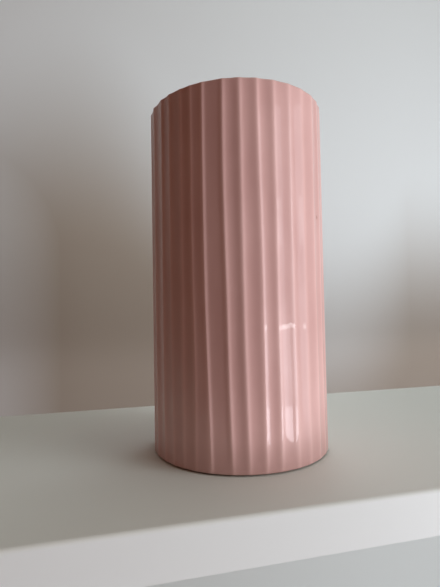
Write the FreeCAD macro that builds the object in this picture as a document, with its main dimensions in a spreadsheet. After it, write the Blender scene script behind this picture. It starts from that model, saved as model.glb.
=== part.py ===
"""Fluted cylinder vase in pink glazed stoneware, as a parametric FreeCAD document.

A vase of this kind is one firing of clay under a coat of glaze, so its separate solids are
its materials, each as thick as it really is:

    clay_body     turned and fluted pot: wall, floor and the bare foot ring it stands on
    outer_glaze   coat over the flutes, over the rim and a little way down inside the mouth
    inner_glaze   watertight lining of the wall and the floor
    base_glaze    disc of glaze in the recess under the floor, inside the foot ring

Two forms are drawn twice from the same sketches, once at the glazed surface and once at the
clay surface, a coat's thickness further in: a turned form, whose half section holds everything
about heights, and a fluted prism, whose plan holds the flutes. Where they overlap is the pot.

Millimetres, +Z up, origin at the centre of the foot.
"""

import FreeCAD
import Part
import Sketcher
import math
import os

SIZES = [
    ("height", 200, "foot to rim, over the glaze"),
    ("crest_radius", 51.9, "axis to the crests between the flutes, over the glaze"),
    ("flute_count", 36, "flutes round the wall"),
    ("flute_depth", 0.6, "crest to the bottom of a flute"),
    ("crest_round", 3.0, "radius of each crest"),
    ("glaze_thick", 0.4, "coat thickness"),
    ("mouth_radius", 46.6, "axis to the lining inside the mouth"),
    ("rim_round", 1.4, "radius of the rim's outer edge"),
    ("lip_round", 1.6, "radius of the rim's inner edge"),
    ("floor_height", 7.0, "foot to the lining on the floor"),
    ("corner_round", 5.0, "radius between the lining's wall and floor"),
    ("foot_inset", 1.8, "crests to the outside of the foot ring"),
    ("foot_height", 0.8, "foot to the underside of the wall"),
    ("foot_width", 5.2, "width of the foot ring"),
    ("recess_depth", 1.8, "foot to the bare clay above the recess"),
    ("base_margin", 1.5, "bare clay left between the foot ring and the base glaze"),
    ("lip_lap", 8.0, "how far the outer coat runs down inside the mouth"),
    ("clearance", 0.2, "turned form outside the crests, so the two forms never just touch"),
    ("overrun", 2.0, "how far a tool runs past what it cuts"),
]

doc = FreeCAD.newDocument("fluted_vase")
sheet = doc.addObject("Spreadsheet::Sheet", "Sizes")
for row, (alias, value, meaning) in enumerate(SIZES, start=1):
    sheet.set(f"A{row}", meaning)
    sheet.set(f"B{row}", str(value))
    sheet.setAlias(f"B{row}", alias)
doc.recompute()

CREST = "Sizes.crest_radius"
GROOVE = "(Sizes.crest_radius - Sizes.flute_depth)"
CREST_CENTRE = "(Sizes.crest_radius - Sizes.crest_round)"
HALF_PITCH = "cos(180 / Sizes.flute_count)"
# A flute is an arc that touches the crest arcs on both sides of it, so its radius follows
# from the crest radius, the depth and the spacing.
FLUTE_RADIUS = (
    f"((Sizes.crest_round^2 - {CREST_CENTRE}^2 - {GROOVE}^2"
    f" + 2 * {CREST_CENTRE} * {GROOVE} * {HALF_PITCH})"
    f" / (2 * ({GROOVE} - Sizes.crest_round - {CREST_CENTRE} * {HALF_PITCH})))"
)
FLUTE_CENTRE = f"({GROOVE} + {FLUTE_RADIUS})"
FOOT_OUTER = "(Sizes.crest_radius - Sizes.foot_inset)"
FOOT_INNER = f"({FOOT_OUTER} - Sizes.foot_width)"


def number(expression):
    """The value of an expression over the sheet, as a plain number."""
    value = sheet.evalExpression(expression)
    return float(getattr(value, "Value", value))


def origin_plane(body, role):
    return next(f for f in body.Origin.OriginFeatures if f.Role == role)


def new_sketch(body, name, role, drop="0"):
    """An empty sketch on one of the body's origin planes, lowered along its normal."""
    sketch = body.newObject("Sketcher::SketchObject", name)
    sketch.AttachmentSupport = [(origin_plane(body, role), "")]
    sketch.MapMode = "FlatFace"
    if drop != "0":
        sketch.setExpression(".AttachmentOffset.Base.z", f"-{drop}")
    return sketch


def dimension(sketch, kind, references, expression):
    """A driving dimension bound to the sheet."""
    index = sketch.addConstraint(Sketcher.Constraint(kind, *references, number(expression)))
    sketch.setExpression(f"Constraints[{index}]", expression)


def circle_sketch(body, name, radius, across, drop):
    """One circle on the XY plane, its centre on the X axis at the distance across."""
    sketch = new_sketch(body, name, "XY_Plane", drop)
    centre = FreeCAD.Vector(number(across), 0, 0)
    circle = sketch.addGeometry(Part.Circle(centre, FreeCAD.Vector(0, 0, 1), number(radius)))
    dimension(sketch, "Radius", (circle,), radius)
    if across == "0":
        sketch.addConstraint(Sketcher.Constraint("Coincident", circle, 3, -1, 1))
    else:
        sketch.addConstraint(Sketcher.Constraint("PointOnObject", circle, 3, -1))
        dimension(sketch, "DistanceX", (-1, 1, circle, 3), across)
    return sketch


def half_section(body, name, corners):
    """A closed sketch on the XZ plane with straight sides between corners, each a pair of
    expressions: distance from the axis and height."""
    sketch = new_sketch(body, name, "XZ_Plane")
    points = [FreeCAD.Vector(number(across), number(up), 0) for across, up in corners]
    sides = range(len(points))
    for side in sides:
        sketch.addGeometry(Part.LineSegment(points[side - 1], points[side]))
    for side in sides:
        following = (side + 1) % len(points)
        sketch.addConstraint(Sketcher.Constraint("Coincident", side, 2, following, 1))
    for side, (across, up) in zip(sides, corners):
        for kind, axis, expression in (("DistanceX", -2, across), ("DistanceY", -1, up)):
            if expression == "0":
                sketch.addConstraint(Sketcher.Constraint("PointOnObject", side, 2, axis))
            else:
                dimension(sketch, kind, (-1, 1, side, 2), expression)
    return sketch


def edge_names(shape, fits):
    """The names of the shape's edges that a test picks."""
    return [f"Edge{i}" for i, edge in enumerate(shape.Edges, start=1) if fits(edge)]


def is_ring(edge, radius, height):
    """Whether an edge is a circle about the Z axis of that radius at that height."""
    curve = edge.Curve
    return (
        isinstance(curve, Part.Circle)
        and math.isclose(curve.Radius, radius, abs_tol=1e-4)
        and math.isclose(curve.Center.z, height, abs_tol=1e-4)
    )


def is_upright(edge):
    """Whether an edge is a straight line along Z."""
    return isinstance(edge.Curve, Part.Line) and abs(edge.Curve.Direction.z) > 0.999


def fillet(body, name, edges, radius):
    """Rounds edges of the body's tip to a radius from the sheet."""
    base = body.Tip
    rounding = body.newObject("PartDesign::Fillet", name)
    rounding.Base = (base, edges)
    rounding.setExpression("Radius", radius)
    body.Tip = rounding
    doc.recompute()


def turned_form(name, skin):
    """The pot's turned shape without its flutes: wall, floor, foot ring and rounded rim.
    skin is how far its glazed surfaces lie inside the finished ones."""
    body = doc.addObject("PartDesign::Body", name)
    outside = f"({CREST} + Sizes.clearance - {skin})"
    mouth = f"(Sizes.mouth_radius + {skin})"
    top = f"(Sizes.height - {skin})"
    floor = f"(Sizes.floor_height - {skin})"
    corners = [
        ("0", floor),
        ("0", "Sizes.recess_depth"),
        (FOOT_INNER, "Sizes.recess_depth"),
        (FOOT_INNER, "0"),
        (FOOT_OUTER, "0"),
        (FOOT_OUTER, "Sizes.foot_height"),
        (outside, "Sizes.foot_height"),
        (outside, top),
        (mouth, top),
        (mouth, floor),
    ]
    section = half_section(body, f"{name}_section", corners)
    turning = body.newObject("PartDesign::Revolution", f"{name}_turning")
    turning.Profile = (section, [""])
    turning.ReferenceAxis = (section, ["V_Axis"])
    turning.Angle = 360
    doc.recompute()
    roundings = [
        ("rim", outside, top, f"Sizes.rim_round - {skin}"),
        ("lip", mouth, top, f"Sizes.lip_round - {skin}"),
        ("corner", mouth, floor, f"Sizes.corner_round + {skin}"),
    ]
    for label, across, up, radius in roundings:
        ring, height = number(across), number(up)
        edges = edge_names(body.Tip.Shape, lambda e: is_ring(e, ring, height))
        fillet(body, f"{name}_{label}", edges, radius)
    return body


def fluted_prism(name, skin):
    """The plan of the wall as an upright prism, taller than the pot: a round blank, one flute
    cut along it, the flute repeated round it and the crests between the flutes rounded.
    skin is how far its surface lies inside the finished one."""
    body = doc.addObject("PartDesign::Body", name)
    drop = "Sizes.overrun"
    blank = circle_sketch(body, f"{name}_plan", f"{CREST} + Sizes.overrun", "0", drop)
    pad = body.newObject("PartDesign::Pad", f"{name}_blank")
    pad.Profile = (blank, [""])
    pad.setExpression("Length", "Sizes.height + 2 * Sizes.overrun")
    arc = circle_sketch(body, f"{name}_arc", f"{FLUTE_RADIUS} + {skin}", FLUTE_CENTRE, drop)
    doc.recompute()
    flute = body.newObject("PartDesign::Pocket", f"{name}_flute")
    flute.Profile = (arc, [""])
    flute.Type = "ThroughAll"
    flute.Reversed = True
    doc.recompute()
    if flute.Shape.Volume >= pad.Shape.Volume - 1:
        raise RuntimeError(f"{name}: the flute cuts nothing")
    flutes = body.newObject("PartDesign::PolarPattern", f"{name}_flutes")
    flutes.Originals = [flute]
    flutes.Axis = (blank, ["N_Axis"])
    flutes.Angle = 360
    flutes.setExpression("Occurrences", "Sizes.flute_count")
    body.Tip = flutes
    doc.recompute()
    crests = edge_names(flutes.Shape, is_upright)
    fillet(body, f"{name}_crests", crests, f"Sizes.crest_round - {skin}")
    return body


def combine(kind, name, base, tool):
    """A boolean of two objects: Cut or Common."""
    made = doc.addObject(f"Part::{kind}", name)
    made.Base = base
    made.Tool = tool
    return made


def label(thing, name):
    thing.Label = name
    return thing


GLAZED, BARE = "0", "Sizes.glaze_thick"

# The pot in clay, then the same pot a coat larger.
clay_turned = turned_form("clay_turned", BARE)
clay_prism = fluted_prism("clay_prism", BARE)
clay_body = label(combine("Common", "clay", clay_turned, clay_prism), "clay_body")
glazed_turned = turned_form("glazed_turned", GLAZED)
glazed_prism = fluted_prism("glazed_prism", GLAZED)
glazed_pot = combine("Common", "glazed_pot", glazed_turned, glazed_prism)
coat = combine("Cut", "coat", glazed_pot, clay_body)

# The lining is the part of the coat inside a plug that stops short of the rim.
plug = doc.addObject("Part::Cylinder", "lining_plug")
plug.setExpression("Radius", "Sizes.mouth_radius + 3 * Sizes.glaze_thick")
plug.setExpression("Height", "Sizes.height - Sizes.lip_lap")
outer_glaze = label(combine("Cut", "outer_coat", coat, plug), "outer_glaze")
inner_glaze = label(combine("Common", "inner_coat", coat, plug), "inner_glaze")

base_glaze = label(doc.addObject("Part::Cylinder", "base_coat"), "base_glaze")
base_glaze.setExpression("Radius", f"{FOOT_INNER} - Sizes.base_margin")
base_glaze.setExpression("Height", "Sizes.glaze_thick")
base_glaze.setExpression(".Placement.Base.z", "Sizes.recess_depth - Sizes.glaze_thick")

doc.recompute()
for thing in doc.Objects:
    if "Invalid" in thing.State or "Error" in thing.State:
        raise RuntimeError(f"{thing.Name} failed: {thing.State}")

os.makedirs("parts", exist_ok=True)
for node in (clay_body, outer_glaze, inner_glaze, base_glaze):
    shape = node.Shape
    if shape.isNull() or not shape.isValid() or not shape.Solids:
        raise RuntimeError(f"{node.Label} has no valid solid")
    shape.exportStep(f"parts/{node.Label}.step")
    print(f"{node.Label}: {len(shape.Solids)} solid, {shape.Volume / 1000:.2f} cm3")
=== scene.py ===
"""Looks of the fluted cylinder vase: glossy pink glaze over stoneware, on a pale shelf.

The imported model's nodes give every size. Each of its four solids is rebuilt here as a closed
mesh of the same material layer, with what a hand-finished pot has and a plain solid lacks:
flutes that wander and differ in width, a rim that follows them, turning rings inside, a gritty
foot ring, and glaze that is thin and pale on the crests and pooled and deep in the flutes.
"""

import math

import bpy
import numpy as np
from mathutils import Matrix, Vector


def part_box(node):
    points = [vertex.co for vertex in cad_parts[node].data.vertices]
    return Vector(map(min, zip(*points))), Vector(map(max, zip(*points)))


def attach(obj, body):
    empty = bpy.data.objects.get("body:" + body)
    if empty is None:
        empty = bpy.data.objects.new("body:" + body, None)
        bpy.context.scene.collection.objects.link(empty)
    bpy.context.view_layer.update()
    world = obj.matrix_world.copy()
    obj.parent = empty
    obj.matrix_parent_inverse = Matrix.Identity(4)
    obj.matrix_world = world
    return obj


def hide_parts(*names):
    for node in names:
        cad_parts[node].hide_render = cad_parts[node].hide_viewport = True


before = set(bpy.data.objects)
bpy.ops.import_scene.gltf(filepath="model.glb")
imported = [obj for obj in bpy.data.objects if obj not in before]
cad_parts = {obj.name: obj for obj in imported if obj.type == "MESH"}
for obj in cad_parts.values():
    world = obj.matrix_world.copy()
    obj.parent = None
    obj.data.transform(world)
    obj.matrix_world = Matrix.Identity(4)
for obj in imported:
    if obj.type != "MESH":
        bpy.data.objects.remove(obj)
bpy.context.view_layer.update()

# ---------------------------------------------------------------- sizes, from the frame
MM = 0.001
FLUTES = 36
PITCH = 2 * math.pi / FLUTES

coat_low, coat_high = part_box("outer_glaze")
lining_low, lining_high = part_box("inner_glaze")
disc_low, disc_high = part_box("base_glaze")

COAT = disc_high.z - disc_low.z
TOP = coat_high.z
HEEL = coat_low.z
CREST = coat_high.x / math.cos(PITCH / 2)
MOUTH = lining_high.x - COAT
FLOOR = lining_low.z + COAT
LAP = lining_high.z
RECESS = disc_high.z
DISC = disc_high.x

# ---------------------------------------------------------------- sizes that no box gives
# The section across a flute. Shares are of its depth, reaches and the skew of its width. The
# glaze stays thin as far from a ridge as its own reach.
FLUTE_DEPTH = 0.62 * MM
CREST_SHARE = 0.60
CREST_REACH = 0.185
CREST_LEAN = 0.20
FLUTE_SKEW = 0.045
GLAZE_REACH = 0.17

# How the flutes soften towards the rim and the heel, and the forms at both. The rim's section
# is between a half circle, of power 2, and a square.
RIM_SOFTENING, RIM_FADE = 0.35, 2.5 * MM
HEEL_SOFTENING, HEEL_FADE = 0.75, 3.5 * MM
RIM_HEIGHT = 1.4 * MM
RIM_TILT = 0.55 * MM
RIM_DROP = 0.08 * MM
RIM_POWER = 2.5
HEEL_ROUND = 0.7 * MM

# Inside and underneath. Tilts and the wander are in radians of the turning rings' waves.
CORNER = 5.0 * MM
FLOOR_DIP = 0.35 * MM
FLOOR_RIPPLE, RIPPLE_PITCH = 0.09 * MM, 5.8 * MM
RING_HEIGHT, RING_PITCH, RING_TILT = 0.07 * MM, 5.3 * MM, 1.2
RING_WANDER, WANDER_PITCH = 3, 21 * MM
FINE_HEIGHT, FINE_PITCH, FINE_TILT = 0.03 * MM, 2.1 * MM, 0.7
BORE_SHARE = 0.7
FOOT_INSET, FOOT_WIDTH = 1.8 * MM, 5.2 * MM
FOOT_OUTER = CREST - FOOT_INSET
FOOT_INNER = FOOT_OUTER - FOOT_WIDTH
FOOT_ROUND = 0.6 * MM
FOOT_WEAR = 0.04 * MM
DISC_MARGIN = 1.0 * MM
DISC_ROUND = 1.2 * MM

# Waves round the axis: size in millimetres, count, and phase and twist up the wall in radians.
OUT_OF_ROUND = ((0.18, 2, 0.8, 1.5), (0.10, 3, 2.1, -2.0))
RIM_WAVER = ((0.12, 2, 0.4, 0), (0.08, 5, 1.9, 0))
WIPED_EDGE = ((0.5, 3, 1.1, 0), (0.3, 8, 0, 0), (0.2, 17, 0, 0))

# How far the hand-made flutes stray. Ridges, and the flute to the right of each, are counted
# from the back, round by the left. Shifts and leans are in degrees: a lean is how much further
# a ridge has moved at the foot. Flat flutes have a crest share and a crest reach of their own.
RIDGES_TURN = math.radians(-2.2)
RIDGE_SHIFTS = {10: 2.0, 11: 4.0, 12: 5.0, 13: 4.0, 14: 3.8, 15: 1.4, 16: -1.7,
                19: -0.5, 21: 1.0, 22: 2.2, 23: 2.9, 24: 2.0}
RIDGE_LEANS = {12: -0.8, 13: -1.0, 14: -3.0, 15: -0.8, 16: 1.1, 17: 1.2, 18: 1.0, 19: 0.6, 20: -0.8}
DEPTH_SHARES = {13: 0.65, 14: 0.75, 15: 0.6, 16: 0.66, 18: 1.04, 19: 1.3, 21: 0.55, 22: 0.55, 23: 0.7}
FLAT_FLUTES = {15: (0.68, 0.17), 16: (0.78, 0.13)}
DRIFT = math.radians(1.6)
RIDGE_STRAY = math.radians(0.5)
RIDGE_WAVE = math.radians(0.35)
DEPTH_STRAY = 0.14
DEPTH_WAVE = 0.06
WIDTH_LIMITS = (0.7, 1.3)
RIDGE_CYCLES, DEPTH_CYCLES = 4, 3
SEED = 110409

# How finely the meshes are divided: columns round the axis, and rows over the heel, wall, rim
# and lap of a coat or over the wall, corner and floor of a lining.
COLUMNS_PER_FLUTE = 20
COLUMN_CROWDING = 0.55
LINING_COLUMNS = 240
COAT_ROWS, COAT_BACK_ROWS = (7, 46, 17, 4), (3, 26, 9, 2)
LINING_ROWS, LINING_BACK_ROWS, POT_INSIDE_ROWS = (96, 9, 26), (12, 7, 6), (8, 5, 4)
SHARP_DEGREES = 50

# ---------------------------------------------------------------- colours and finishes
GLAZE_THIN, GLAZE_POOLED = (0.78, 0.52, 0.49), (0.62, 0.375, 0.35)
GLAZE_SPECK = (0.30, 0.13, 0.10)
GLAZE_IOR, GLAZE_SPECULAR = 1.46, 0.6
GLAZE_COAT, GLAZE_COAT_ROUGHNESS = 0.42, 0.022
GLAZE_ROUGHNESS = (0.44, 0.54)
LINING_TONE = 0.55

# Noise: features per metre, detail, and relative frequency along each axis.
GLAZE_CLOUD, GLAZE_STREAK = (45, 3.0, (1, 1, 0.45)), (160, 2.0, (1, 1, 0.12))
GLAZE_MOTTLE, GLAZE_PEEL = (90, 2.0), (330, 2.0)
GLAZE_WAVES = (110, 1.0, (1, 1, 0.35))
CLAY_CLOUD, CLAY_GRIT = (60, 4.0), (1400, 3.0)
FLOOR_CLOUD = (6, 2.0)

# Specks: cells per metre, the span of random tones that choose a cell, and from edge to middle.
GLAZE_SPECKS = (70, (0.80, 0.82), (0.030, 0.012))
CLAY_SPECKS = (420, (0.72, 0.78), (0.28, 0.12))

# Depths of the fine relief.
WAVES_DEPTH, PEEL_DEPTH, PIT_DEPTH = 0.05 * MM, 0.008 * MM, 0.3 * MM
GRIT_DEPTH = 0.06 * MM

# How much thicker the glaze is in a groove, in a cloud and in a streak, and a painted shade that deepens
# the colour the same way down at the heel, where the shelf's edge cuts off the light.
GROOVE_THICKNESS, CLOUD_THICKNESS, STREAK_THICKNESS = (0.0, 0.6), (-0.1, 0.35), (-0.08, 0.08)
HEEL_SHADE_SPAN, HEEL_SHADE_AMOUNT = (16 * MM, 1 * MM), (0, 0.5)

PINHOLE_ANGLE, PINHOLE_HEIGHT = math.radians(60), 0.662 * TOP
PINHOLE = (CREST * math.sin(PINHOLE_ANGLE), -CREST * math.cos(PINHOLE_ANGLE), PINHOLE_HEIGHT)
PINHOLE_EDGE = (1.6 * MM, 0.7 * MM)
PINHOLE_COLOUR = (0.50, 0.28, 0.24)

CLAY_PALE, CLAY_WARM = (0.46, 0.33, 0.24), (0.36, 0.25, 0.17)
CLAY_IRON = (0.13, 0.07, 0.045)
CLAY_ROUGHNESS = (0.75, 0.95)

# Where the values of a noise texture mostly lie.
NOISE_RANGE = (0.3, 0.7)

# ---------------------------------------------------------------- shelf, wall and screen
SHELF_TURN = math.radians(16.8)
SHELF_FRONT = 1.70 * CREST
SHELF_BACK = 2.40 * CREST
SHELF_THICK = 20.6 * MM
SHELF_ROUND = 2 * MM
STAGE_HALF = 2.4
WALL_BACK, WALL_BOTTOM, WALL_TOP = 0.33, -1, 2.4
PAINT_ROUGHNESS = 0.6

FLOOR_PAINT, FLOOR_SHADE = (0.80, 0.86, 0.82), (0.76, 0.82, 0.78)
# Painted shade: the floor darkens to the right over this span.
FLOOR_RIGHT_SHADE, RIGHT_SHADE_SPAN = (0.66, 0.715, 0.68), (-0.05, 0.15)
# Painted light: the shelf's front edge is lighter below this height.
EDGE_PAINTED_LIGHT, EDGE_TOP = (0.84, 0.93, 0.93), (-0.3 * MM, -2 * MM)
# The wall's pale paint, and the darker, warmer colour of its painted shade.
WALL_PAINTED_SHADE, WALL_HIGH = (0.375, 0.345, 0.29), (0.81, 0.91, 0.93)
WALL_UNDER, UNDER_EDGE = (0.78, 0.90, 0.90), (-0.09, -0.12)

# The painted shade on the wall, in metres: its upper edge swings up and down across the wall, by a wave
# whose phase is in radians, and a painted lit patch at its left is paler.
SHADE_SPAN, SHADE_PHASE = (-0.30, 0.27), (-0.9, 4.53)
SHADE_SWING = 0.15
SHADE_EDGE = (0.01, 0.33)
LIT_PATCH_RIGHT, LIT_PATCH_LEFT, LIT_PATCH_SHARE = (-0.225, -0.29), (-0.44, -0.33), 0.52

SCREEN_COLOUR = (0.50, 0.51, 0.505)
SCREEN_RADIUS = 4.0
SCREEN_SIDES = 64

# ---------------------------------------------------------------- lights and camera
WINDOW_LIGHT = (0.98, 0.99, 1.0)
SKY_LIGHT = (0.96, 0.93, 1.0)
CEILING_LIGHT = (0.85, 1.0, 0.93)
ROOM_LIGHT, ROOM_STRENGTH = (1.0, 0.44, 0.27), 0.13

# Each light's name, azimuth in degrees, distance, low and high ends, width, watts, colour and
# whether the glaze mirrors it. Those named window are the parts of one window's reflection.
LIGHTS = (
    ("daylight", 61, 0.95, -0.38, 0.62, 0.50, 4.4, WINDOW_LIGHT, False),
    ("window", 73, 0.95, -0.38, 0.62, 0.42, 3.0, SKY_LIGHT, True),
    ("window_upper", 73, 0.90, 0.24, 0.36, 0.26, 0.25, WINDOW_LIGHT, True),
    ("window_lower", 63.5, 0.90, -0.16, 0.04, 0.32, 0.80, SKY_LIGHT, True),
    ("window_rail", 65, 0.90, 0.030, 0.042, 0.42, 0.16, WINDOW_LIGHT, True),
    ("window_foot", 63.5, 0.90, -0.27, -0.16, 0.30, 1.15, SKY_LIGHT, True),
    ("ceiling", 75, 0.55, 1.1, 1.9, 0.8, 3.2, CEILING_LIGHT, True),
    ("rear_fill", 168, 0.31, 0.05, 0.35, 0.16, 0.22, WINDOW_LIGHT, False),
)

# The camera's angles are in degrees.
LENS = 26.64
CAMERA_DISTANCE = 5.155 * CREST
CAMERA_HEIGHT = 1.561 * CREST + 1.15 * MM
CAMERA_YAW, CAMERA_PITCH, CAMERA_ROLL = -2.36, 2.10, -0.95


# ---------------------------------------------------------------- shape of the wall
rng = np.random.default_rng(SEED)


def random_waves(count, cycles):
    """Smooth random curves over 0..1, one per row: amplitudes and phases of a few sines."""
    phases = rng.uniform(0, 2 * np.pi, (count, cycles))
    sizes = rng.normal(0, 1, (count, cycles)) / np.arange(1, cycles + 1)
    return sizes, phases


def sample(curves, t):
    """The random curves at heights t (0..1): an array of count by len(t)."""
    sizes, phases = curves
    cycles = np.arange(1, sizes.shape[1] + 1)
    angle = np.pi * cycles[None, :, None] * t[None, None, :] + phases[:, :, None]
    return (sizes[:, :, None] * np.sin(angle)).sum(axis=1)


ridge_offsets = rng.normal(0, 1, FLUTES) * RIDGE_STRAY
for ridge, degrees in RIDGE_SHIFTS.items():
    ridge_offsets[ridge] += math.radians(degrees)
foot_leans = np.zeros(FLUTES)
for ridge, degrees in RIDGE_LEANS.items():
    foot_leans[ridge] = math.radians(degrees)
ridge_waves = random_waves(FLUTES, RIDGE_CYCLES)
depths = 1 + rng.normal(0, 1, FLUTES) * DEPTH_STRAY
for flute, share in DEPTH_SHARES.items():
    depths[flute] *= share
depth_waves = random_waves(FLUTES, DEPTH_CYCLES)
crest_shares = np.full((FLUTES, 1), CREST_SHARE)
crest_reaches = np.full((FLUTES, 1), CREST_REACH)
for flute, (share, reach) in FLAT_FLUTES.items():
    crest_shares[flute] = share
    crest_reaches[flute] = reach

# Fractions across one flute, closer together near the ridges.
evenly = np.arange(COLUMNS_PER_FLUTE) / COLUMNS_PER_FLUTE
fractions = evenly - COLUMN_CROWDING * np.sin(2 * np.pi * evenly) / (2 * np.pi)


def ridge_angles(z):
    """Angle of each ridge from the front, to the right, at heights z: FLUTES by len(z)."""
    t = np.clip(z / TOP, 0, 1)
    nominal = RIDGES_TURN + (np.arange(FLUTES) - FLUTES // 2 + 0.5) * PITCH + ridge_offsets
    lean = DRIFT * (1 - t[None, :]) ** 3 + foot_leans[:, None] * (1 - t[None, :]) ** 2
    return nominal[:, None] + lean + RIDGE_WAVE * sample(ridge_waves, t)


def away_from_ridge(u, reach):
    """0 on a ridge, rising to 1 in the flute beside it. Reach is the share of a flute it takes."""
    return 1 - np.exp(-((np.sin(np.pi * u) / (np.pi * reach)) ** 2))


def hollow(u):
    """Depth across each flute, 0 on the ridges and 1 in the middle: a wave with narrower crests,
    a little steeper to the right of each ridge than to its left. FLUTES by len(u)."""
    leaning = u + FLUTE_SKEW * np.sin(np.pi * u) ** 2
    wave = np.sin(np.pi * leaning) ** 2
    reach = crest_reaches * (1 - CREST_LEAN * np.cos(np.pi * leaning))
    return (1 - crest_shares) * wave + crest_shares * away_from_ridge(leaning, reach)


def fade(z):
    """Share of the flutes' depth left at height z: they soften at the rim and at the heel."""
    at_rim = RIM_SOFTENING * np.exp(-(TOP - z) / RIM_FADE)
    at_heel = HEEL_SOFTENING * np.exp(-(z - HEEL) / HEEL_FADE)
    return 1 - at_rim - at_heel


def wavering(waves, angle, t=0):
    """The sum of some waves round the axis, in metres, at heights t (0..1)."""
    return sum(size * MM * np.sin(count * angle + phase + twist * t) for size, count, phase, twist in waves)


def fluted_ring(z_profile):
    """Angles and outer radii of the wall's columns where the profile's height is z_profile."""
    z = np.atleast_1d(z_profile)
    ridges = ridge_angles(z)
    nexts = np.roll(ridges, -1, axis=0)
    nexts[-1] += 2 * np.pi
    angle = ridges[:, None, :] + (nexts - ridges)[:, None, :] * fractions[None, :, None]
    t = np.clip(z / TOP, 0, 1)
    depth = FLUTE_DEPTH * fade(z)[None, :] * (depths[:, None] + DEPTH_WAVE * sample(depth_waves, t))
    fall = depth[:, None, :] * hollow(fractions)[:, :, None]
    width = ((nexts - ridges) / PITCH)[:, None, :]
    radius = CREST - fall * np.clip(width, *WIDTH_LIMITS)
    angle = angle.reshape(-1, len(z))
    radius = radius.reshape(-1, len(z)) + wavering(OUT_OF_ROUND, angle, t[None, :])
    return angle, radius


def inner_radius(angle, z):
    """The lining's wall: turning rings, faint and uneven, on a slightly oval bore."""
    wander = RING_TILT * np.sin(angle) + RING_WANDER * np.sin(z / WANDER_PITCH)
    rings = RING_HEIGHT * np.sin(2 * np.pi * z / RING_PITCH + wander)
    finer = FINE_HEIGHT * np.sin(2 * np.pi * z / FINE_PITCH + FINE_TILT * np.cos(angle))
    return MOUTH + rings + finer + BORE_SHARE * wavering(OUT_OF_ROUND, angle, np.clip(z / TOP, 0, 1))


def rim_lift(angle):
    """Unevenness of the rim's height, in metres: it isn't cut quite square, and it wavers."""
    return RIM_TILT * np.sin(angle) + wavering(RIM_WAVER, angle) - RIM_DROP


def cylinder_points(angle, radius, z):
    """Points from angle (from the front, to the right), radius and height."""
    z = np.broadcast_to(z, angle.shape)
    return np.stack([radius * np.sin(angle), -radius * np.cos(angle), z], axis=-1)


# ---------------------------------------------------------------- meshes from rings of points
def swept_mesh(name, rings, start_point=None, end_point=None):
    """A closed mesh through rings of points, each an array of columns by 3. It is closed round
    each ring. Its two ends meet single points if those are given, and each other if not."""
    columns = len(rings[0])
    points = np.concatenate(rings)
    across = np.arange(columns)
    beside = (across + 1) % columns
    bands = len(rings) if start_point is None else len(rings) - 1
    faces = []
    for row in range(bands):
        low = row * columns
        high = ((row + 1) % len(rings)) * columns
        faces += np.stack([low + across, low + beside, high + beside, high + across], axis=1).tolist()
    if start_point is not None:
        start = len(points)
        high = (len(rings) - 1) * columns
        points = np.concatenate([points, [start_point], [end_point]])
        faces += [[start, b, a] for a, b in zip(across.tolist(), beside.tolist())]
        faces += [[start + 1, high + a, high + b] for a, b in zip(across.tolist(), beside.tolist())]
    mesh = bpy.data.meshes.new(name)
    mesh.from_pydata(points.tolist(), [], faces)
    mesh.validate()
    mesh.shade_smooth()
    mesh.set_sharp_from_angle(angle=math.radians(SHARP_DEGREES))
    piece = bpy.data.objects.new(name, mesh)
    bpy.context.scene.collection.objects.link(piece)
    return piece


def store_groove(piece, values):
    """Keeps how deep in a groove each vertex lies, 0 to 1, for the glaze to read."""
    attribute = piece.data.attributes.new("groove", "FLOAT", "POINT")
    attribute.data.foreach_set("value", np.asarray(values, dtype=np.float32))


def wall_rings(skin, heel_rows, wall_rows, rim_rows, lap_rows):
    """Rings over the wall from under the heel, up the flutes, over the rim and down inside to
    the lap, a depth of skin under the finished surface. Also how deep the glaze lies there."""
    rings, grooves = [], []
    groove = np.tile(away_from_ridge(fractions, GLAZE_REACH), FLUTES)

    def add(angle, radius, z):
        rings.append(cylinder_points(angle, radius, z))
        grooves.append(groove)

    heel_centre = HEEL + HEEL_ROUND
    angle, radius = (a[:, 0] for a in fluted_ring(heel_centre))
    reach = HEEL_ROUND - skin
    for turn in np.linspace(0, math.pi / 2, heel_rows, endpoint=False):
        add(angle, radius - HEEL_ROUND + reach * math.sin(turn), heel_centre - reach * math.cos(turn))
    shoulder = TOP - RIM_HEIGHT
    heights = np.linspace(heel_centre, shoulder, wall_rows)
    angles, radii = fluted_ring(heights)
    for row, z in enumerate(heights):
        add(angles[:, row], radii[:, row] - skin, z)
    angle, outside = angles[:, -1], radii[:, -1] - skin
    inside = inner_radius(angle, shoulder) + skin
    middle, half = (outside + inside) / 2, (outside - inside) / 2
    height = RIM_HEIGHT - skin + rim_lift(angle)
    for turn in np.linspace(0, math.pi, rim_rows + 2)[1:-1]:
        across = math.copysign(abs(math.cos(turn)) ** (2 / RIM_POWER), math.cos(turn))
        rise = math.sin(turn) ** (2 / RIM_POWER)
        add(angle, middle + half * across, shoulder + height * rise)
    for z in np.linspace(shoulder, LAP, lap_rows):
        add(angle, inner_radius(angle, z) + skin, z)
    return rings, grooves


def make_outer_coat():
    """Glaze over the flutes, over the rim and a little way down inside."""
    front, grooves = wall_rings(0.0, *COAT_ROWS)
    back, back_grooves = wall_rings(COAT, *COAT_BACK_ROWS)
    coat = swept_mesh("glaze_coat", front + back[::-1])
    store_groove(coat, np.concatenate(grooves + back_grooves[::-1]))
    return coat


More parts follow.
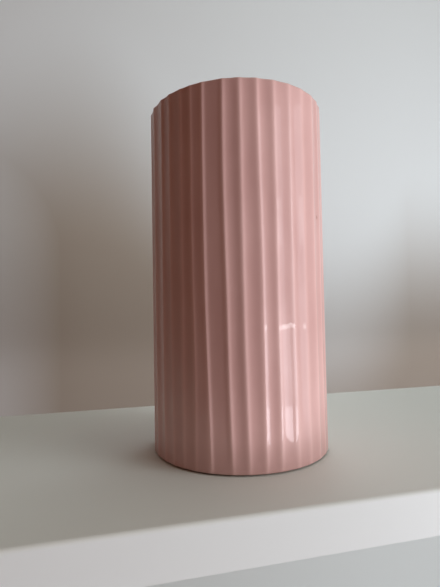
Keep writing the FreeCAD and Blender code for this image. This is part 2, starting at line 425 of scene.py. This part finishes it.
def lining_rings(skin, angle, wall_rows, corner_rows, floor_rows):
    """Rings over the lining from the lap down the wall, round the corner and in to the axis, a
    depth of skin under the finished surface."""
    rings = []
    for z in np.linspace(LAP, FLOOR + CORNER, wall_rows):
        rings.append(cylinder_points(angle, inner_radius(angle, z) + skin, z))
    foot = inner_radius(angle, FLOOR + CORNER)
    reach = CORNER + skin
    for turn in np.linspace(0, math.pi / 2, corner_rows + 1)[1:]:
        radius = foot - CORNER + reach * math.cos(turn)
        rings.append(cylinder_points(angle, radius, FLOOR + CORNER - reach * math.sin(turn)))
    for share in np.linspace(1, 0, floor_rows + 1)[1:-1]:
        radius = (foot - CORNER) * share
        ripple = FLOOR_RIPPLE * np.sin(2 * np.pi * radius / RIPPLE_PITCH + angle) * min(1, 4 * share)
        dip = FLOOR_DIP * (1 - share ** 2)
        rings.append(cylinder_points(angle, radius, FLOOR - skin + (1 - share) * ripple - dip))
    return rings


def even_angles(columns):
    """Angles of columns spaced evenly round the axis."""
    return np.arange(columns) * 2 * np.pi / columns


def make_lining():
    """Glaze over the inside of the wall and the floor."""
    angle = even_angles(LINING_COLUMNS)
    front = lining_rings(0.0, angle, *LINING_ROWS)
    back = lining_rings(COAT, angle, *LINING_BACK_ROWS)
    top, under = (0, 0, FLOOR - FLOOR_DIP), (0, 0, FLOOR - COAT - FLOOR_DIP)
    lining = swept_mesh("glaze_lining", front[::-1] + back, top, under)
    store_groove(lining, np.full(len(lining.data.vertices), LINING_TONE))
    return lining


def foot_rings(angle, heel_radius):
    """Rings over the bare clay from the axis out across the recess, round the foot ring and
    out to the heel."""
    rings = []

    def add(radius, z):
        rings.append(cylinder_points(angle, np.broadcast_to(radius, angle.shape), z))

    for share in (0.3, 0.7, 0.96):
        add(FOOT_INNER * share, RECESS)
    add(FOOT_INNER, RECESS - FOOT_ROUND / 2)
    wear = FOOT_WEAR * np.sin(3 * angle + 0.7) * np.sin(7 * angle)
    for side, edge in ((-1, FOOT_INNER), (1, FOOT_OUTER)):
        turns = np.linspace(0, math.pi / 2, 5)
        for turn in turns if side < 0 else turns[::-1]:
            radius = edge - side * FOOT_ROUND * (1 - math.cos(turn))
            add(radius, FOOT_ROUND * (1 - math.sin(turn)) + wear * math.sin(turn) ** 2)
    under = HEEL + COAT
    add(FOOT_OUTER, under - FOOT_ROUND / 3)
    add(FOOT_OUTER + FOOT_ROUND / 3, under)
    add((FOOT_OUTER + heel_radius) / 2, under)
    return rings


def make_pot():
    """The clay under the coats. Only its foot ring and recess show."""
    wall, _ = wall_rings(COAT, *COAT_BACK_ROWS)
    heel, lap = wall[0], wall[-1]
    heel_angle = np.arctan2(heel[:, 0], -heel[:, 1])
    lap_angle = np.arctan2(lap[:, 0], -lap[:, 1])
    foot = foot_rings(heel_angle, np.hypot(heel[:, 0], heel[:, 1]))
    inside = lining_rings(COAT, lap_angle, *POT_INSIDE_ROWS)[1:]
    under, floor = (0, 0, RECESS), (0, 0, FLOOR - COAT - FLOOR_DIP)
    return swept_mesh("stoneware_pot", foot + wall + inside, under, floor)


def make_base_disc():
    """Glaze in the recess, with an edge that a sponge wiped round unevenly."""
    angle = even_angles(LINING_COLUMNS)
    edge = DISC - DISC_MARGIN + wavering(WIPED_EDGE, angle)
    rings = [cylinder_points(angle, edge * share, RECESS) for share in (0.2, 0.6, 1.0)]
    for turn in np.linspace(0, math.pi / 2, 6)[1:]:
        radius = edge - DISC_ROUND * (1 - math.cos(turn))
        rings.append(cylinder_points(angle, radius, RECESS - COAT * math.sin(turn)))
    for share in (0.9, 0.75, 0.5, 0.25):
        rings.append(cylinder_points(angle, edge * share, RECESS - COAT))
    disc = swept_mesh("glaze_base", rings, (0, 0, RECESS), (0, 0, RECESS - COAT))
    store_groove(disc, np.full(len(disc.data.vertices), 1.0))
    return disc


# ---------------------------------------------------------------- materials
def add_node(tree, kind, **settings):
    """A shader node. Settings name its properties; those of inputs are set by input_NAME."""
    node = tree.nodes.new("ShaderNode" + kind)
    for name, value in settings.items():
        if name.startswith("input_"):
            node.inputs[name[6:].replace("_", " ")].default_value = value
        else:
            setattr(node, name, value)
    return node


def new_material(name):
    """A material, its node tree and its shader."""
    material = bpy.data.materials.new(name)
    material.use_nodes = True
    return material, material.node_tree, material.node_tree.nodes["Principled BSDF"]


def across_and_up(tree, position):
    """The X and the Z of a position."""
    split = add_node(tree, "SeparateXYZ")
    tree.links.new(position, split.inputs[0])
    return split.outputs["X"], split.outputs["Z"]


def noise(tree, position, scale, detail, frequency=(1, 1, 1)):
    """Noise whose features are about 1 / scale metres, longer along an axis of lower frequency."""
    mapping = add_node(tree, "Mapping", input_Scale=frequency)
    tree.links.new(position, mapping.inputs["Vector"])
    texture = add_node(tree, "TexNoise", input_Scale=scale, input_Detail=detail)
    tree.links.new(mapping.outputs["Vector"], texture.inputs["Vector"])
    return texture.outputs["Fac"]


def rescale(tree, value, span, result=(0.0, 1.0), kind="LINEAR"):
    """A value taken from one span to another and held at its ends."""
    node = add_node(tree, "MapRange", interpolation_type=kind)
    for socket, number in zip(node.inputs[1:5], (*span, *result)):
        socket.default_value = number
    tree.links.new(value, node.inputs["Value"])
    return node.outputs["Result"]


def arithmetic(tree, operation, first, second=0):
    """The result of a Math node on two numbers, either of them another node's output."""
    node = add_node(tree, "Math", operation=operation)
    for socket, value in zip(node.inputs, (first, second)):
        if isinstance(value, (int, float)):
            socket.default_value = value
        else:
            tree.links.new(value, socket)
    return node.outputs[0]


def blend_colours(tree, amount, first, second):
    """A colour between two, each a colour or another node's output."""
    node = add_node(tree, "Mix", data_type="RGBA")
    tree.links.new(amount, node.inputs["Factor"])
    for socket, value in zip((node.inputs[6], node.inputs[7]), (first, second)):
        if isinstance(value, tuple):
            socket.default_value = (*value, 1)
        else:
            tree.links.new(value, socket)
    return node.outputs[2]


def specks(tree, position, scale, chosen, size):
    """1 on small round specks, 0 elsewhere. They are in the middle of cells about 1 / scale
    metres across, only in those whose random tone is past the span chosen, and the span size
    goes from a speck's edge to where it is solid."""
    cells = add_node(tree, "TexVoronoi", input_Scale=scale)
    tree.links.new(position, cells.inputs["Vector"])
    few = rescale(tree, cells.outputs["Color"], chosen)
    near = rescale(tree, cells.outputs["Distance"], size)
    return arithmetic(tree, "MULTIPLY", few, near)


def bumps(tree, shader, layers):
    """Bump layers, each a height output and its depth in metres."""
    normal = None
    for height, depth in layers:
        bump = add_node(tree, "Bump", input_Strength=1.0, input_Distance=depth)
        tree.links.new(height, bump.inputs["Height"])
        if normal is not None:
            tree.links.new(normal, bump.inputs["Normal"])
        normal = bump.outputs["Normal"]
    tree.links.new(normal, shader.inputs["Normal"])


def make_glaze():
    """Glossy dusty pink glaze: pale where it thins over a crest, deeper where it pools in a flute, cloudy,
    with a few specks and a faint orange-peel surface, and deeper down at the heel, a painted shade."""
    material, tree, shader = new_material("pink_glaze")
    position = add_node(tree, "TexCoord").outputs["Object"]
    groove = add_node(tree, "Attribute", attribute_name="groove").outputs["Fac"]
    cloud = noise(tree, position, *GLAZE_CLOUD)
    streak = noise(tree, position, *GLAZE_STREAK)
    _, up = across_and_up(tree, position)
    thickness_and_shade = rescale(tree, groove, (0, 1), GROOVE_THICKNESS)
    for more in (rescale(tree, cloud, NOISE_RANGE, CLOUD_THICKNESS),
                 rescale(tree, streak, NOISE_RANGE, STREAK_THICKNESS),
                 # Painted shade: the colour deepens towards the heel.
                 rescale(tree, up, HEEL_SHADE_SPAN, HEEL_SHADE_AMOUNT)):
        thickness_and_shade = arithmetic(tree, "ADD", thickness_and_shade, more)
    colour = blend_colours(tree, thickness_and_shade, GLAZE_THIN, GLAZE_POOLED)
    iron = specks(tree, position, *GLAZE_SPECKS)
    colour = blend_colours(tree, iron, colour, GLAZE_SPECK)
    away = add_node(tree, "VectorMath", operation="DISTANCE")
    tree.links.new(position, away.inputs[0])
    away.inputs[1].default_value = PINHOLE
    pinhole = rescale(tree, away.outputs["Value"], PINHOLE_EDGE)
    tree.links.new(blend_colours(tree, pinhole, colour, PINHOLE_COLOUR), shader.inputs["Base Color"])
    roughness = rescale(tree, noise(tree, position, *GLAZE_MOTTLE), NOISE_RANGE, GLAZE_ROUGHNESS)
    tree.links.new(roughness, shader.inputs["Roughness"])
    shader.inputs["IOR"].default_value = GLAZE_IOR
    shader.inputs["Specular IOR Level"].default_value = GLAZE_SPECULAR
    shader.inputs["Coat Weight"].default_value = GLAZE_COAT
    shader.inputs["Coat Roughness"].default_value = GLAZE_COAT_ROUGHNESS
    waves = noise(tree, position, *GLAZE_WAVES)
    peel = noise(tree, position, *GLAZE_PEEL)
    pit = arithmetic(tree, "SUBTRACT", 1.0, pinhole)
    bumps(tree, shader, [(waves, WAVES_DEPTH), (peel, PEEL_DEPTH), (pit, PIT_DEPTH)])
    return material


def make_stoneware():
    """Bare fired clay: warm buff, matt, gritty, with darker iron specks."""
    material, tree, shader = new_material("bare_stoneware")
    position = add_node(tree, "TexCoord").outputs["Object"]
    cloud = noise(tree, position, *CLAY_CLOUD)
    grit = noise(tree, position, *CLAY_GRIT)
    colour = blend_colours(tree, rescale(tree, cloud, NOISE_RANGE), CLAY_PALE, CLAY_WARM)
    iron = specks(tree, position, *CLAY_SPECKS)
    tree.links.new(blend_colours(tree, iron, colour, CLAY_IRON), shader.inputs["Base Color"])
    tree.links.new(rescale(tree, grit, NOISE_RANGE, CLAY_ROUGHNESS), shader.inputs["Roughness"])
    bumps(tree, shader, [(grit, GRIT_DEPTH)])
    return material


def make_floor_paint():
    """Plain pale paint, a little cloudy, darker to the right, a painted shade, and lighter on the front
    edge, a painted light.
    """
    material, tree, shader = new_material("floor_paint")
    position = add_node(tree, "TexCoord").outputs["Object"]
    across, up = across_and_up(tree, position)
    cloud = rescale(tree, noise(tree, position, *FLOOR_CLOUD), NOISE_RANGE)
    colour = blend_colours(tree, cloud, FLOOR_PAINT, FLOOR_SHADE)
    # Painted shade to the right.
    colour = blend_colours(tree, rescale(tree, across, RIGHT_SHADE_SPAN), colour, FLOOR_RIGHT_SHADE)
    # Painted light on the front edge.
    colour = blend_colours(tree, rescale(tree, up, EDGE_TOP), colour, EDGE_PAINTED_LIGHT)
    tree.links.new(colour, shader.inputs["Base Color"])
    shader.inputs["Roughness"].default_value = PAINT_ROUGHNESS
    return material


def make_wall_paint():
    """Pale paint under a painted shade, dark and warm low down to a height that differs across the wall,
    with a painted lit patch at the left, and pale again under the shelf."""
    material, tree, shader = new_material("wall_paint")
    position = add_node(tree, "TexCoord").outputs["Object"]
    across, up = across_and_up(tree, position)
    # Painted shade, with a painted lit patch at the left.
    swing = arithmetic(tree, "COSINE", rescale(tree, across, SHADE_SPAN, SHADE_PHASE))
    above = arithmetic(tree, "SUBTRACT", up, arithmetic(tree, "MULTIPLY", swing, SHADE_SWING))
    lit_share = rescale(tree, above, SHADE_EDGE, kind="SMOOTHSTEP")
    lit_patch = arithmetic(tree, "MINIMUM", rescale(tree, across, LIT_PATCH_RIGHT, (0, LIT_PATCH_SHARE)),
                       rescale(tree, across, LIT_PATCH_LEFT, (0, LIT_PATCH_SHARE)))
    colour = blend_colours(tree, arithmetic(tree, "MAXIMUM", lit_share, lit_patch), WALL_PAINTED_SHADE, WALL_HIGH)
    colour = blend_colours(tree, rescale(tree, up, UNDER_EDGE), colour, WALL_UNDER)
    tree.links.new(colour, shader.inputs["Base Color"])
    shader.inputs["Roughness"].default_value = PAINT_ROUGHNESS
    return material


def make_screen_light():
    """A plain even glow."""
    material, _, shader = new_material("screen_light")
    shader.inputs["Base Color"].default_value = (0, 0, 0, 1)
    shader.inputs["Emission Color"].default_value = (*SCREEN_COLOUR, 1)
    shader.inputs["Emission Strength"].default_value = 1.0
    return material


# ---------------------------------------------------------------- stage, lights and camera
def on_shelf(x, y, z):
    """A point given along and across the shelf, in the row frame."""
    c, s = math.cos(SHELF_TURN), math.sin(SHELF_TURN)
    return Vector((c * x - s * y, s * x + c * y, z))


def stage_piece(name, points, faces, material):
    """A mesh that belongs to the surroundings and not to the vase."""
    mesh = bpy.data.meshes.new(name)
    mesh.from_pydata(points, [], faces)
    mesh.materials.append(material)
    piece = bpy.data.objects.new(name, mesh)
    bpy.context.scene.collection.objects.link(piece)
    return piece


def prism_sides(count):
    """Faces between two rings of count points each, the second ring following the first."""
    return [(i, (i + 1) % count, count + (i + 1) % count, count + i) for i in range(count)]


def make_shelf():
    """A long pale board with a softened front edge."""
    section = [(SHELF_BACK, 0.0), (-SHELF_FRONT + SHELF_ROUND, 0.0)]
    for turn in np.linspace(0, math.pi / 2, 7)[1:]:
        y = -SHELF_FRONT + SHELF_ROUND * (1 - math.sin(turn))
        section.append((y, -SHELF_ROUND * (1 - math.cos(turn))))
    section += [(-SHELF_FRONT, -SHELF_THICK), (SHELF_BACK, -SHELF_THICK)]
    count = len(section)
    points = [on_shelf(side * STAGE_HALF, y, z) for side in (-1, 1) for y, z in section]
    ends = [tuple(range(count))[::-1], tuple(range(count, 2 * count))]
    stage_piece("floor", points, prism_sides(count) + ends, make_floor_paint())


def make_wall():
    """A pale wall, further back than the shelf reaches."""
    corners = ((-1, WALL_BOTTOM), (1, WALL_BOTTOM), (1, WALL_TOP), (-1, WALL_TOP))
    points = [on_shelf(side * STAGE_HALF, WALL_BACK, z) for side, z in corners]
    stage_piece("backdrop", points, [(0, 1, 2, 3)], make_wall_paint())


def make_screen():
    """A pale round screen beyond the shelf. The camera sees it, and the light passes it."""
    angle = even_angles(SCREEN_SIDES)
    low, high = (cylinder_points(angle, SCREEN_RADIUS, z) for z in (-SCREEN_RADIUS, SCREEN_RADIUS))
    faces = prism_sides(SCREEN_SIDES) + [tuple(range(SCREEN_SIDES))]
    screen = stage_piece("screen", np.concatenate([low, high]).tolist(), faces, make_screen_light())
    screen.visible_diffuse = screen.visible_glossy = screen.visible_shadow = False


def area_light(name, azimuth, distance, low, high, width, power, colour, mirrored):
    """A soft upright light that faces the vase, from height low to high. Azimuth is from the
    front, to the right. An unmirrored light gives no reflection."""
    data = bpy.data.lights.new(name, "AREA")
    data.shape = "RECTANGLE"
    data.size, data.size_y = width, high - low
    data.energy, data.color = power, colour
    lamp = bpy.data.objects.new(name, data)
    bpy.context.scene.collection.objects.link(lamp)
    turn = math.radians(azimuth)
    lamp.location = (distance * math.sin(turn), -distance * math.cos(turn), (low + high) / 2)
    lamp.rotation_euler = (math.pi / 2, 0, turn)
    lamp.visible_camera = False
    lamp.visible_glossy = mirrored
    return lamp


def make_lights():
    """The lights and the room's dim glow. All are upright but the ceiling, which faces down from
    the height of its middle."""
    lamps = {settings[0]: area_light(*settings) for settings in LIGHTS}
    lamps["ceiling"].rotation_euler = (0, 0, 0)
    world = bpy.data.worlds.new("room")
    world.use_nodes = True
    background = world.node_tree.nodes["Background"]
    background.inputs["Color"].default_value = (*ROOM_LIGHT, 1)
    background.inputs["Strength"].default_value = ROOM_STRENGTH
    bpy.context.scene.world = world


def make_camera():
    """Close to the vase with a wide lens, below its middle and looking slightly up."""
    data = bpy.data.cameras.new("camera")
    data.lens = LENS
    camera = bpy.data.objects.new("camera", data)
    bpy.context.scene.collection.objects.link(camera)
    yaw, pitch, roll = (math.radians(a) for a in (CAMERA_YAW, CAMERA_PITCH, CAMERA_ROLL))
    ahead = Vector((math.sin(yaw) * math.cos(pitch), math.cos(yaw) * math.cos(pitch), math.sin(pitch)))
    level = Vector((math.cos(yaw), -math.sin(yaw), 0))
    up = level.cross(ahead)
    right = math.cos(roll) * level + math.sin(roll) * up
    above = math.cos(roll) * up - math.sin(roll) * level
    turn = Matrix((right, above, -ahead)).transposed()
    camera.matrix_world = Matrix.Translation((0, -CAMERA_DISTANCE, CAMERA_HEIGHT)) @ turn.to_4x4()
    bpy.context.scene.camera = camera


# ---------------------------------------------------------------- making
glaze, stoneware = make_glaze(), make_stoneware()
pieces = (
    (make_outer_coat(), "outer_glaze", "pink_glaze", glaze),
    (make_lining(), "inner_glaze", "lining_glaze", glaze),
    (make_base_disc(), "base_glaze", "pink_glaze", glaze),
    (make_pot(), "clay_body", "stoneware", stoneware),
)
for piece, node_name, slot_name, finish in pieces:
    piece.data.materials.append(finish)
    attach(piece, "root")
    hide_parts(node_name)

make_shelf()
make_wall()
make_screen()
make_lights()
make_camera()
bpy.context.scene.view_settings.view_transform = "Standard"
